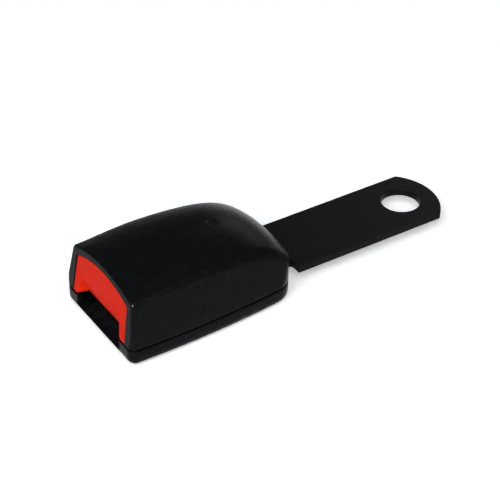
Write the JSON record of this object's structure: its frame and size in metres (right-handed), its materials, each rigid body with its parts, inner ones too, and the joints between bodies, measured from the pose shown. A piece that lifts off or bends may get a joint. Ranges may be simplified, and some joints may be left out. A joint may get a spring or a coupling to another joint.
{
  "type": "seat belt buckle",
  "caption": "Seat belt buckle with a red end-release button, domed black covers and a flat black steel stalk with an anchor hole.",
  "frame": {"origin": "centre of the anchor hole, on the top face of the stalk", "axes": "+X from the buckle towards the stalk's free end, +Z along the anchor hole's axis and up out of the button side, mouth towards -X"},
  "size_m": [0.1543, 0.05, 0.0324],
  "materials": {
    "cover_black": "satin moulded black",
    "button_red": "satin moulded red",
    "coated_steel": "black coated",
    "plated_steel": "zinc plated",
    "spring_steel": "drawn wire",
    "ejector_white": "natural moulded"
  },
  "bodies": {
    "root": {"upper_cover": "cover_black", "lower_cover": "cover_black", "anchor_stalk": "coated_steel", "buckle_frame": "plated_steel", "stalk_rivets": "plated_steel", "latch_pivot_pin": "plated_steel", "pivot_pin_clip": "spring_steel", "ejector_guide_rod": "plated_steel", "tongue_guide": "cover_black", "cover_screws": "plated_steel", "ejector_spring": "spring_steel", "button_spring_left": "spring_steel", "button_spring_right": "spring_steel", "latch_spring": "spring_steel"},
    "button": {"release_button": "button_red"},
    "latch": {"latch_lever": "plated_steel"},
    "ejector": {"tongue_ejector": "ejector_white"}
  },
  "joints": [
    {"name": "button_slide", "type": "slide", "parent": "root", "child": "button", "axis": [1, 0, 0], "range_m": [0, 0.0055], "stiffness_N_per_m": 800, "springref_m": -0.005, "deforming": ["button_spring_left", "button_spring_right"]},
    {"name": "latch_pivot", "type": "hinge", "parent": "root", "child": "latch", "pos_m": [-0.0968, 0, 0.0062], "axis": [0, 1, 0], "range_deg": [0, 12.5], "stiffness_Nm_per_rad": 0.05, "springref_deg": -17.19, "deforming": ["latch_spring"]},
    {"name": "ejector_slide", "type": "slide", "parent": "root", "child": "ejector", "axis": [1, 0, 0], "range_m": [0, 0.009], "stiffness_N_per_m": 600, "springref_m": -0.008, "deforming": ["ejector_spring"]}
  ],
  "couplings": [
    {"joint": "latch_pivot", "follows": "button_slide", "rad_per_m": 39.6}
  ]
}
